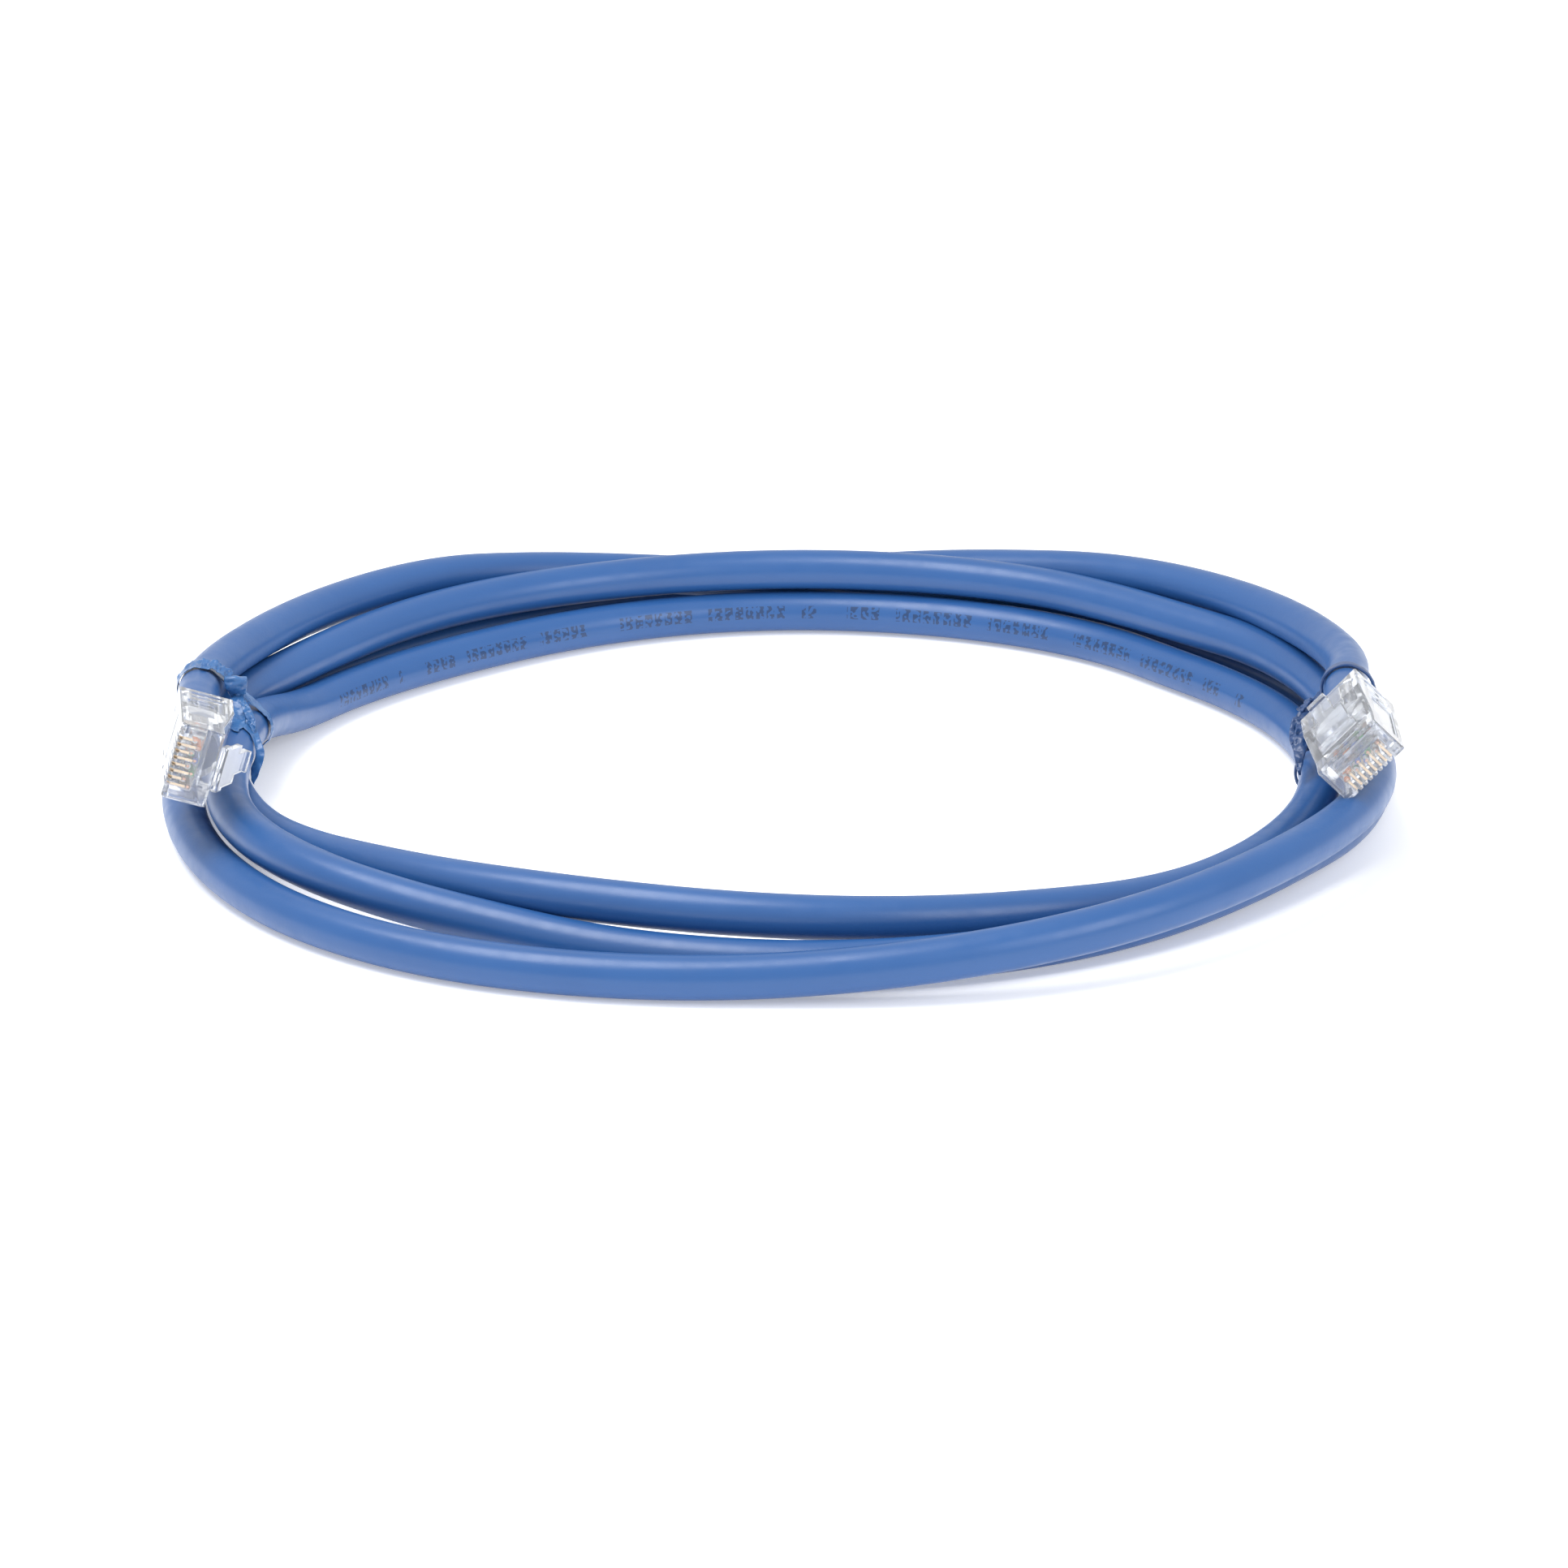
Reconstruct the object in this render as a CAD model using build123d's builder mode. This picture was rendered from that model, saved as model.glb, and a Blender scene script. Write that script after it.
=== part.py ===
"""Boot-less Ethernet patch cable, wound in a flat coil and tied at both sides.

Millimetres, +Z up. The coil lies flat on Z = 0 with its middle on the Z axis, the two plugs lie on
top of it at its left (-X) and right (+X) sides and both point to the front (-Y).
Each plug has its own frame: its origin is the middle of the cable where it enters the rear face,
local x runs across the eight contacts, local y points out of the latch side, and local z points
from the cable to the nose.
"""
from build123d import *
import math
import os

# Cable and coil
CABLE_DIAMETER = 6.5
COIL_HALF_X = 96.5
COIL_HALF_Y = 96.0
COIL_CORNER = 86.0
COIL_WIDTH = 18.5
COIL_HEIGHT = 12.0
COIL_EDGE = 4.0

# 8-position modular plug
PLUG_LENGTH = 21.5
PLUG_WIDTH = 11.68
PLUG_BOTTOM = -3.95
NOSE_TOP = 2.65
NOSE_CHAMFER = 0.4
CONTACT_CHAMFER = 0.7
REAR_TOP = 4.4
COLLAR_END = 7.2
COLLAR_SLOPE_END = 17.0
CORNER_ROUND = 0.3
JACKET_END = 7.5
BORE_END = JACKET_END + 0.8
JACKET_BORE_WIDTH = CABLE_DIAMETER + 1.8
JACKET_BORE_HEIGHT = CABLE_DIAMETER + 0.16
MOUTH_CHAMFER = 0.35
PITCH = 1.016
POSITIONS = 8

# Pockets in the plug's side walls: two short grip slots in the collar, one long shallow panel
GRIP_SLOTS_Z = (2.2, 4.3)
GRIP_SLOT = (0.9, 4.8, 0.55)
GRIP_MIDDLE_Y = 0.2
PANEL_Z = (6.2, 18.6)
PANEL_Y = (-2.8, 1.7)
PANEL_DEPTH = 0.3

# Openings in the contact side: for the strain-relief bar, and a narrow one over the conductors
STRAIN_Z = (3.4, 6.8)
STRAIN_WINDOW_WIDTH = 7.2
STRAIN_WINDOW_DEPTH = 1.2
STRAIN_BAR_HEIGHT = 0.62
CROSS_SLOT_Z = (10.6, 11.9)
CROSS_SLOT_WIDTH = 8.6
CROSS_SLOT_DEPTH = 0.9

# Conductors inside the plug
CONDUCTOR_DIAMETER = 0.92
CORE_DIAMETER = 0.5
CONDUCTOR_ROW_Y = -1.35
ROW_STAGGER = 0.8
CONDUCTOR_NOSE_END = 20.2
BUNDLE_PITCH = 1.25
BUNDLE_STAGGER = 0.62
BUNDLE_ROW_GAP = 1.18
FAN_START = 8.3
FAN_END = 12.4
FAN_RADIUS = 1.2
FAN_CAVITY = (9.2, 3.9)
FAN_CAVITY_RISE = 0.3
WIRE_CLEARANCE = 0.05
GUIDE_PLAY = 0.2
GUIDE_HOLE_CLEARANCE = 0.02
STRAIN_BAR_CLEARANCE = 0.1
STRAIN_BAR_RECESS = 0.05
BLADE_TOOTH = (0.7, 0.6)
GUIDE_LENGTH = 3.8
GUIDE_SIZE = (8.8, 2.5)

# Contact blades
BLADE_THICKNESS = 0.35
BLADE_BACK = 17.3
BLADE_FRONT = 20.6
BLADE_FOOT = PLUG_BOTTOM + 0.35
BLADE_CORNER = 0.5
BLADE_PIERCE = 0.1
SLOT_CLEARANCE = 0.08

# Latch
HINGE_Z = 19.7
HINGE_Y = 3.4
HINGE_RADIUS = 0.55
LATCH_ANGLE = 23.0
LATCH_THICKNESS = 0.95
LATCH_STEPS = ((0.0, 1.8, 6.9), (1.6, 6.2, 6.0), (6.0, 10.0, 3.25))
LATCH_LIP = (9.2, 10.0, 0.45)

# Places of the two plugs: middle of the rear face, nose direction, direction across the contacts
LEFT_REAR = (-88.3, -25.2, 18.8)
LEFT_NOSE_DIRECTION = (0.107, -1.0, 0.058)
LEFT_ACROSS = (-0.3, 0.0, -0.954)
RIGHT_REAR = (84.8, -20.7, 19.6)
RIGHT_NOSE_DIRECTION = (-0.01, -1.0, 0.01)
RIGHT_ACROSS = (0.69, 0.0, 0.724)

# The cable's two loose stretches: straight back from each plug, along the top of the coil, into it
LEAD_STRAIGHT = 12.0
LEFT_LEAD = (
    (-89.4, 12.0, 16.3), (-77.1, 46.4, 15.6), (-58.5, 69.7, 14.0), (-40.0, 82.2, 11.0), (-20.5, 88.7, 8.2),
)
RIGHT_LEAD = (
    (88.4, 14.0, 17.2), (78.4, 46.5, 15.8), (57.5, 72.0, 13.7), (34.0, 86.8, 9.9), (13.0, 93.0, 8.0),
)

# Ties: the turns' places in the plane Y = 0, and the knots with their hanging tails
TIE_PLANE = Plane(origin=(0, 0, 0), x_dir=(1, 0, 0), z_dir=(0, -1, 0))
FILM_WIDTH = 5.0
STRAP_WIDTH = 4.0
BAND_THICKNESS = 0.45
BAND_GAP = 0.3
TIE_GAP = 0.3
LEAD_SLACK = 0.1
STRAND_LOW = CABLE_DIAMETER / 2 + BAND_GAP + BAND_THICKNESS
LEFT_STRANDS = ((-90.4, STRAND_LOW), (-82.4, STRAND_LOW), (-86.6, STRAND_LOW + 4.9))
RIGHT_STRANDS = ((89.7, STRAND_LOW), (82.9, STRAND_LOW), (87.6, STRAND_LOW + 5.6))
FILM_KNOT = (-79.7, 0.0, 14.1)
FILM_KNOT_RADIUS = 1.9
FILM_TIPS = ((-80.8, -15.0, 14.6), (-75.2, -13.0, 6.2))
FILM_TAIL_WIDTH = 3.0
STRAP_KNOT = (79.1, 0.0, 13.6)
STRAP_KNOT_RADIUS = 1.5
STRAP_TIPS = ((75.8, -13.0, 7.5), (76.2, -16.5, 9.5))
STRAP_TAIL_WIDTH = 2.2
TAIL_THICKNESS = 0.6
TAIL_TAPER_FROM = 0.7


def plug_plane(rear, nose_direction, across):
    return Plane(origin=rear, x_dir=across, z_dir=nose_direction)


def side_plane(frame):
    """The plane of a plug's side view: sketch x runs to the nose, sketch y out of the latch side."""
    return Plane(origin=frame.origin, x_dir=frame.z_dir, z_dir=-frame.x_dir)


def contact_x(position):
    return (position - (POSITIONS + 1) / 2) * PITCH


def write(part, name):
    part.label = name
    export_step(part, f"parts/{name}.step")


# ---------------------------------------------------------------- coil and leads


def coil_outline(inset):
    RectangleRounded(2 * (COIL_HALF_X - inset), 2 * (COIL_HALF_Y - inset), COIL_CORNER - inset)


def make_coil(grooves):
    """The outer shape of the wound turns, pinched where each tie passes round it."""
    with BuildPart() as coil:
        with BuildSketch():
            coil_outline(0)
        extrude(amount=COIL_HEIGHT)
        with BuildSketch():
            coil_outline(COIL_WIDTH)
        extrude(amount=COIL_HEIGHT, mode=Mode.SUBTRACT)
        fillet(coil.edges().group_by(Axis.Z)[0] + coil.edges().group_by(Axis.Z)[-1], COIL_EDGE)
        for groove in grooves:
            add(groove, mode=Mode.SUBTRACT)
    return coil.part


def route_radii(points, diameter):
    """Largest tangent arc at each inner point: 0.45 of the shorter run over tan(half the turn)."""
    radii = []
    for before, here, after in zip(points, points[1:], points[2:]):
        run_in = Vector(*here) - Vector(*before)
        run_out = Vector(*after) - Vector(*here)
        half_turn = math.radians(run_in.get_angle(run_out) / 2)
        radii.append(0.45 * min(run_in.length, run_out.length) / math.tan(half_turn))
    print("radii in diameters:", [round(radius / diameter, 1) for radius in radii])
    return radii


def lead_path(frame, points):
    """From inside the plug, straight out of its rear, along the coil's top and down into it."""
    along_axis = [tuple(frame.origin + frame.z_dir * z) for z in (JACKET_END, -LEAD_STRAIGHT)]
    route = [*along_axis, *points]
    with BuildLine() as path:
        FilletPolyline(*route, radius=route_radii(route, CABLE_DIAMETER))
    return path.wire()


def make_lead(path):
    with BuildPart() as lead:
        with BuildSketch(Plane(origin=path @ 0, z_dir=path % 0)):
            Circle(CABLE_DIAMETER / 2)
        sweep(path=path)
    section = math.pi * CABLE_DIAMETER**2 / 4
    print("lead length", round(path.length, 1), "volume ratio",
          round(lead.part.volume / (section * path.length), 4))
    return lead.part


# ---------------------------------------------------------------- plug


def row_y(position):
    """The conductors lie in two staggered rows, the odd ones nearer the contact side."""
    return CONDUCTOR_ROW_Y + (0 if position % 2 else ROW_STAGGER)


def block(plane, start, sizes, place, length):
    """A rectangular block that begins at the plane's offset start; place is its middle there."""
    with BuildPart() as solid:
        with BuildSketch(plane.offset(start)):
            with Locations(place):
                Rectangle(*sizes)
        extrude(amount=length)
    return solid.part


def wire_cavities(frame):
    """Where the conductors fan out, the seat of the wire guide, and the flat room for both rows."""
    middle = CONDUCTOR_ROW_Y + ROW_STAGGER / 2
    guide_width, guide_height = GUIDE_SIZE
    rows_start = FAN_END + GUIDE_LENGTH
    rows_size = (
        POSITIONS * PITCH + 2 * WIRE_CLEARANCE,
        CONDUCTOR_DIAMETER + ROW_STAGGER + 2 * WIRE_CLEARANCE,
    )
    return [
        block(frame, BORE_END, FAN_CAVITY, (0, middle + FAN_CAVITY_RISE), FAN_END - BORE_END),
        block(
            frame, FAN_END, (guide_width + 2 * WIRE_CLEARANCE, guide_height + 2 * WIRE_CLEARANCE),
            (0, middle), GUIDE_LENGTH + GUIDE_PLAY,
        ),
        block(frame, rows_start, rows_size, (0, middle), CONDUCTOR_NOSE_END + WIRE_CLEARANCE - rows_start),
    ]


def blade_slots(frame):
    """One slot for each blade, open at the contact side, and a notch in front of it at the nose."""
    width = BLADE_THICKNESS + 2 * SLOT_CLEARANCE
    start = BLADE_BACK - SLOT_CLEARANCE
    slots = []
    for position in range(1, POSITIONS + 1):
        x = contact_x(position)
        height = row_y(position) + BLADE_PIERCE + SLOT_CLEARANCE - PLUG_BOTTOM
        slots.append(
            block(
                frame, start, (width, height), (x, PLUG_BOTTOM + height / 2),
                BLADE_FRONT + SLOT_CLEARANCE - start,
            )
        )
        slots.append(block(frame, BLADE_BACK, (width, 2 * CONTACT_CHAMFER), (x, PLUG_BOTTOM), PLUG_LENGTH))
    return slots


def windows_and_pockets(frame):
    """Windows in the contact side, and the pockets of both side walls."""
    strain_start, strain_end = STRAIN_Z
    cross_start, cross_end = CROSS_SLOT_Z
    cuts = [
        block(
            frame, strain_start - WIRE_CLEARANCE, (STRAIN_WINDOW_WIDTH, 2 * STRAIN_WINDOW_DEPTH),
            (0, PLUG_BOTTOM), strain_end - strain_start + 2 * WIRE_CLEARANCE,
        ),
        block(
            frame, cross_start, (CROSS_SLOT_WIDTH, 2 * CROSS_SLOT_DEPTH), (0, PLUG_BOTTOM),
            cross_end - cross_start,
        ),
    ]
    side = side_plane(frame)
    grip_length, grip_height, grip_depth = GRIP_SLOT
    panel_size = (PANEL_Z[1] - PANEL_Z[0], PANEL_Y[1] - PANEL_Y[0])
    panel_middle = ((PANEL_Z[0] + PANEL_Z[1]) / 2, (PANEL_Y[0] + PANEL_Y[1]) / 2)
    for wall in (-1, 1):
        surface = wall * PLUG_WIDTH / 2
        cuts.append(block(side, surface, panel_size, panel_middle, -wall * PANEL_DEPTH))
        for grip_z in GRIP_SLOTS_Z:
            cuts.append(
                block(side, surface, (grip_length, grip_height), (grip_z, GRIP_MIDDLE_Y), -wall * grip_depth)
            )
    return cuts


def make_housing(frame):
    """Clear shell with its rear collar, jacket bore, cavities, slots, windows and pockets."""
    cuts = [*wire_cavities(frame), *blade_slots(frame), *windows_and_pockets(frame)]
    with BuildPart() as housing:
        with BuildSketch(side_plane(frame)):
            with BuildLine():
                Polyline(
                    (0, PLUG_BOTTOM), (PLUG_LENGTH - CONTACT_CHAMFER, PLUG_BOTTOM),
                    (PLUG_LENGTH, PLUG_BOTTOM + CONTACT_CHAMFER), (PLUG_LENGTH, NOSE_TOP - NOSE_CHAMFER),
                    (PLUG_LENGTH - NOSE_CHAMFER, NOSE_TOP), (COLLAR_SLOPE_END, NOSE_TOP),
                    (COLLAR_END, REAR_TOP), (0, REAR_TOP), close=True,
                )
            make_face()
        extrude(amount=PLUG_WIDTH / 2, both=True)
        outline_edges = housing.edges().filter_by(
            lambda edge: abs((edge % 0.5).dot(frame.x_dir)) < 0.01
        )
        fillet(outline_edges, CORNER_ROUND)
        with BuildSketch(frame):
            RectangleRounded(JACKET_BORE_WIDTH, JACKET_BORE_HEIGHT, CABLE_DIAMETER / 2)
        extrude(amount=BORE_END, mode=Mode.SUBTRACT)
        rear_face = housing.faces().sort_by(Axis(frame.origin, frame.z_dir))[0]
        chamfer(rear_face.inner_wires()[0].edges(), MOUTH_CHAMFER)
        for cut in cuts:
            add(cut, mode=Mode.SUBTRACT)
    return housing.part


def make_latch(frame):
    """Lever that slopes back from its hinge at the nose: wide root, locking shoulders, narrow tab."""
    hinge = Plane(
        origin=frame.from_local_coords((0, HINGE_Y, HINGE_Z)), x_dir=-frame.z_dir, z_dir=frame.x_dir
    )
    slope = math.radians(LATCH_ANGLE)
    lever = Plane(
        origin=hinge.origin, z_dir=hinge.z_dir,
        x_dir=hinge.x_dir * math.cos(slope) + hinge.y_dir * math.sin(slope),
    )
    lip_start, lip_end, lip_height = LATCH_LIP
    with BuildPart() as latch:
        with BuildSketch(hinge):
            Circle(HINGE_RADIUS)
        extrude(amount=LATCH_STEPS[0][2] / 2, both=True)
        for start, end, width in LATCH_STEPS:
            with BuildSketch(lever):
                with Locations(((start + end) / 2, 0)):
                    Rectangle(end - start, LATCH_THICKNESS)
            extrude(amount=width / 2, both=True)
        # Finger lip along the free end
        with BuildSketch(lever):
            with Locations(((lip_start + lip_end) / 2, (LATCH_THICKNESS + lip_height) / 2)):
                Rectangle(lip_end - lip_start, lip_height)
        extrude(amount=LATCH_STEPS[-1][2] / 2, both=True)
    return latch.part


def make_load_bar(frame):
    """Wire guide: a clear block with one hole for each conductor."""
    with BuildPart() as load_bar:
        with BuildSketch(frame.offset(FAN_END + 0.1)):
            with Locations((0, CONDUCTOR_ROW_Y + ROW_STAGGER / 2)):
                Rectangle(*GUIDE_SIZE)
            with Locations([(contact_x(position), row_y(position)) for position in range(1, POSITIONS + 1)]):
                Circle(CONDUCTOR_DIAMETER / 2 + GUIDE_HOLE_CLEARANCE, mode=Mode.SUBTRACT)
        extrude(amount=GUIDE_LENGTH)
    return load_bar.part


def make_strain_bar(frame):
    """Bar pressed through the housing against the jacket."""
    with BuildPart() as strain_bar:
        with BuildSketch(frame.offset(STRAIN_Z[0])):
            with Locations((0, PLUG_BOTTOM + STRAIN_BAR_RECESS)):
                Rectangle(STRAIN_WINDOW_WIDTH - 2 * STRAIN_BAR_CLEARANCE, STRAIN_BAR_HEIGHT, align=(Align.CENTER, Align.MIN))
        extrude(amount=STRAIN_Z[1] - STRAIN_Z[0])
    return strain_bar.part


def make_blade(frame, position):
    """Contact blade: a flat stamping with a rounded outer corner and two insulation-piercing points."""
    blade_plane = side_plane(frame).offset(-contact_x(position))
    middle = (BLADE_BACK + BLADE_FRONT) / 2
    tip = row_y(position) + BLADE_PIERCE
    tooth_width, tooth_depth = BLADE_TOOTH
    with BuildPart() as blade:
        with BuildSketch(blade_plane):
            with BuildLine():
                Polyline(
                    (BLADE_BACK, BLADE_FOOT + BLADE_CORNER), (BLADE_BACK, tip - BLADE_CORNER),
                    (BLADE_BACK + tooth_width, tip), (middle, tip - tooth_depth),
                    (BLADE_FRONT - tooth_width, tip), (BLADE_FRONT, tip - BLADE_CORNER),
                    (BLADE_FRONT, BLADE_FOOT + BLADE_CORNER), (BLADE_FRONT - BLADE_CORNER, BLADE_FOOT),
                    (BLADE_BACK + BLADE_CORNER, BLADE_FOOT), close=True,
                )
            make_face()
        extrude(amount=BLADE_THICKNESS / 2, both=True)
    return blade.part


def conductor_route(frame, position):
    """From its place in the round bundle, where odd wires lie below even ones, to its row."""
    pair = (position - 1) // 2
    lower = position % 2
    bundle_x = (pair - 1.5) * BUNDLE_PITCH + (0.5 - lower) * BUNDLE_STAGGER
    bundle_y = CONDUCTOR_ROW_Y + ROW_STAGGER / 2 + FAN_CAVITY_RISE + (0.5 - lower) * BUNDLE_ROW_GAP
    row = (contact_x(position), row_y(position))
    local = [(bundle_x, bundle_y, JACKET_END), (bundle_x, bundle_y, FAN_START),
             (*row, FAN_END), (*row, CONDUCTOR_NOSE_END)]
    return [tuple(frame.from_local_coords(point)) for point in local]


def make_wire(frame, position, diameter, hole, blade):
    """One round wire along its route, notched by its blade; hole is the bore for the copper core."""
    with BuildPart() as wire:
        with BuildLine() as path:
            FilletPolyline(*conductor_route(frame, position), radius=FAN_RADIUS)
        with BuildSketch(Plane(origin=path.line @ 0, z_dir=path.line % 0)):
            Circle(diameter / 2)
            if hole:
                Circle(hole / 2, mode=Mode.SUBTRACT)
        sweep()
        add(blade, mode=Mode.SUBTRACT)
    return wire.part


def make_plug(frame, side):
    write(make_housing(frame), f"{side}_plug_housing")
    write(make_latch(frame), f"{side}_plug_latch")
    write(make_load_bar(frame), f"{side}_wire_guide")
    write(make_strain_bar(frame), f"{side}_strain_bar")
    cores = []
    for position in range(1, POSITIONS + 1):
        blade = make_blade(frame, position)
        write(blade, f"{side}_contact_{position}")
        conductor = make_wire(frame, position, CONDUCTOR_DIAMETER, CORE_DIAMETER, blade)
        write(conductor, f"{side}_conductor_{position}")
        cores.append(make_wire(frame, position, CORE_DIAMETER, 0, blade))
    write(Compound(children=cores), f"{side}_copper_cores")


# ---------------------------------------------------------------- ties


def point_at_tie(path):
    """Where a lead crosses the plane of its tie, Y = 0."""
    return min((path @ (step / 400) for step in range(401)), key=lambda point: abs(point.Y))


def strand_circles(places, radius):
    with BuildLine() as circles:
        for x, z in places:
            CenterArc((x, z), radius, 0, 360)
    make_hull(circles.edges())


def make_groove(strands, width):
    """The space round the three tied turns: the coil is pinched to their hull under the tie."""
    middle_x = sum(x for x, _ in strands) / len(strands)
    with BuildPart() as groove:
        with BuildSketch(TIE_PLANE):
            with Locations((middle_x, COIL_HEIGHT / 2)):
                Rectangle(2 * COIL_WIDTH, 2 * COIL_HEIGHT)
        extrude(amount=width / 2 + TIE_GAP, both=True)
        with BuildSketch(TIE_PLANE):
            strand_circles(strands, CABLE_DIAMETER / 2)
        extrude(amount=width, both=True, mode=Mode.SUBTRACT)
    return groove.part


def make_band(strands, lead_point, width):
    """Flat loop round the three tied turns and the lead that lies on them."""
    places = [*strands, (lead_point.X, lead_point.Z + LEAD_SLACK)]
    inner_radius = CABLE_DIAMETER / 2 + BAND_GAP
    with BuildPart() as band:
        with BuildSketch(TIE_PLANE):
            strand_circles(places, inner_radius + BAND_THICKNESS)
        extrude(amount=width / 2, both=True)
        with BuildSketch(TIE_PLANE):
            strand_circles(places, inner_radius)
        extrude(amount=width, both=True, mode=Mode.SUBTRACT)
    return band.part


def make_tails(knot, knot_radius, tips, width):
    """A knot with its pointed tails, each a thin strip from the knot to its tip."""
    with BuildPart() as tails:
        with Locations(knot):
            Sphere(knot_radius)
        for tip in tips:
            strip = Vector(*tip) - Vector(*knot)
            with BuildSketch(Plane(origin=knot, x_dir=strip, z_dir=strip.cross(Vector(0, 0, 1)))):
                with BuildLine():
                    Polyline((0, -width / 2), (TAIL_TAPER_FROM * strip.length, -width / 2),
                             (strip.length, 0), (TAIL_TAPER_FROM * strip.length, width / 2),
                             (0, width / 2), close=True)
                make_face()
            extrude(amount=TAIL_THICKNESS / 2, both=True)
    return tails.part


def main():
    os.makedirs("parts", exist_ok=True)
    left_frame = plug_plane(LEFT_REAR, LEFT_NOSE_DIRECTION, LEFT_ACROSS)
    right_frame = plug_plane(RIGHT_REAR, RIGHT_NOSE_DIRECTION, RIGHT_ACROSS)
    make_plug(left_frame, "left")
    make_plug(right_frame, "right")
    left_path = lead_path(left_frame, LEFT_LEAD)
    right_path = lead_path(right_frame, RIGHT_LEAD)
    write(make_lead(left_path), "left_lead")
    write(make_lead(right_path), "right_lead")
    grooves = [make_groove(LEFT_STRANDS, FILM_WIDTH), make_groove(RIGHT_STRANDS, STRAP_WIDTH)]
    write(make_coil(grooves), "cable_coil")
    write(make_band(LEFT_STRANDS, point_at_tie(left_path), FILM_WIDTH), "film_tie_band")
    write(make_band(RIGHT_STRANDS, point_at_tie(right_path), STRAP_WIDTH), "strap_tie_band")
    write(make_tails(FILM_KNOT, FILM_KNOT_RADIUS, FILM_TIPS, FILM_TAIL_WIDTH), "film_tie_tails")
    write(make_tails(STRAP_KNOT, STRAP_KNOT_RADIUS, STRAP_TIPS, STRAP_TAIL_WIDTH), "strap_tie_tails")


main()
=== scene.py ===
"""Looks of the Ethernet patch cable: one wound cable with a clear plug on each end and two ties.

Metres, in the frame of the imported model. MM turns the millimetres of the design into metres.
"""
import math

import bpy
from mathutils import Matrix, Vector, kdtree, noise


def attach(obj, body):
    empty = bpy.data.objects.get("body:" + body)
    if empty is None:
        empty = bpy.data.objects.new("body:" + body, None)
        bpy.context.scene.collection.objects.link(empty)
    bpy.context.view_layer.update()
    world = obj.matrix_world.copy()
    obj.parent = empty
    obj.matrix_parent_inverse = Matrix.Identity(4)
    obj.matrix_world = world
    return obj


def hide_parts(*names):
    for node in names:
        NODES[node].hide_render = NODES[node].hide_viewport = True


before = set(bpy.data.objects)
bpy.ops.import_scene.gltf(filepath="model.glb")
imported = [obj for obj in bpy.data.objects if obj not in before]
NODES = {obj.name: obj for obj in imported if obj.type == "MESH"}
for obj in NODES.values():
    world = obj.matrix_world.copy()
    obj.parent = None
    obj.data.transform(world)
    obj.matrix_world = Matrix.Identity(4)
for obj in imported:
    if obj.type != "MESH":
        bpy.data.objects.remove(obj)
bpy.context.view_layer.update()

MM = 0.001

# Cable
CABLE_DIAMETER = 6.5
CABLE_RADIUS = CABLE_DIAMETER / 2
SPLINE_STEPS = 12
BEVEL_STEPS = 12

# Ties, in the plane Y = 0. The film leaves out strands beyond its outer X; the strap also goes
# round its own knot. A wrap is narrow at its low height and full width at its high one
FILM_WIDTH = 5.0
FILM_GAP = 0.25
FILM_THICKNESS = 0.12
FILM_OUTER_X = -91.5
FILM_KNOT = (-83.7, -2.2, 17.5)
STRAP_WIDTH = 2.4
STRAP_GAP = 0.4
STRAP_THICKNESS = 0.45
STRAP_LEAN = 5.6
STRAP_KNOT = (80.7, -2.0, 14.7)
STRAP_KNOT_CIRCLE = (Vector((81.6, 14.6)), 0.8)
WRAP_LOW, WRAP_HIGH = 8.0, 18.0
NARROW_SHARE = 0.35
WRAP_COLUMNS = 9
OUTLINE_DIRECTIONS = 72
OUTLINE_STEP = 0.5
FINDER_STEP = 0.4
LAYING_ROUNDS = 4
# Direction across a strip that lies flat
FLAT = (1, 0.1, 0)

# Insulation of the eight conductors, in the order of the contacts: colour, and whether it is
# a stripe on white
CONDUCTORS = (
    ("orange", True), ("orange", False), ("green", True), ("blue", False),
    ("blue", True), ("green", False), ("brown", True), ("brown", False),
)
WIRE_WHITE = (0.80, 0.79, 0.76)
WIRE_SHADE = 0.82
# Direction of the stripes, their pitch and the share of it that they take
WIRE_STRIPE = ((0.4, 1.0, 0.5), 1.9, 0.38)
WIRE_COLOURS = {
    "orange": (0.80, 0.22, 0.03), "green": (0.03, 0.30, 0.07),
    "blue": (0.03, 0.12, 0.50), "brown": (0.20, 0.08, 0.035),
}

# Printed legend on the jacket, as illegible marks: sizes in millimetres. Each group is a pitch
# and the share of it that takes ink: letters, then words, then longer gaps
LEGEND_RADIUS = 78.0
LEGEND_GROUPS = ((1.7, 0.74), (15.3, 0.82), (39.0, 0.88))
LEGEND_STROKE = 0.62
LEGEND_STROKE_FROM = 0.47
LEGEND_LOW, LEGEND_HIGH = 3.0, 5.0
LEGEND_REACH = 82.0
LEGEND_FROM_Y = 32.0
LEGEND_STRENGTH = 0.6
LEGEND_COLOUR = (0.006, 0.012, 0.035)

# Studio, in metres, degrees and watts. Each lamp has its place, its size and its power
WORLD_STRENGTH = 0.85
LAMPS = {
    "key": ((-0.30, -0.10, 0.80), (0.6, 0.5), 6.0),
    "fill": ((0.60, -0.55, 0.50), (0.5, 0.5), 2.5),
}
FLOOR_REACH = 3.0
FLOOR_DROP = 0.0002
FLOOR_GLOW = 0.3
CAMERA_TARGET = (0, -0.0135, 0.006)
CAMERA_ELEVATION = 19
CAMERA_DISTANCE = 1.003
CAMERA_LENS = 151.4

# Parts of a plug besides its contacts and conductors
PLUG_PARTS = ("plug_housing", "plug_latch", "wire_guide", "strain_bar", "copper_cores")

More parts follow.
